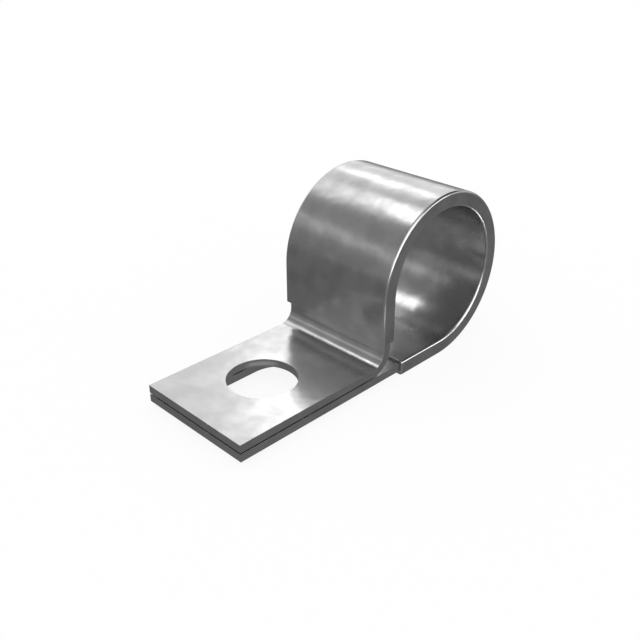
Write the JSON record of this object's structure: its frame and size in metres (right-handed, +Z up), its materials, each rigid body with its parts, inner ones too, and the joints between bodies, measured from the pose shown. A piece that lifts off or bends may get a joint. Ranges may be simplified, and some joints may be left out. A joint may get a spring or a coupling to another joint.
{
  "type": "p clip",
  "caption": "Steel P clip for a cable or pipe: a band bent into a round loop inside a close sleeve, with flat tabs that close on a fixing bolt through a hole and a slot.",
  "frame": {"origin": "on the axis of the round loop, half-way across the strap", "axes": "+Y along the loop's axis, +Z up from the tabs to the top of the loop, +X from the end of the tabs towards the loop"},
  "size_m": [0.054, 0.0208, 0.027],
  "materials": {
    "strap_steel": "neutral grey sheet steel, satin, with a soft mottle",
    "sleeve_steel": null
  },
  "bodies": {
    "root": {"strap": "strap_steel", "sleeve": "sleeve_steel"}
  },
  "joints": []
}
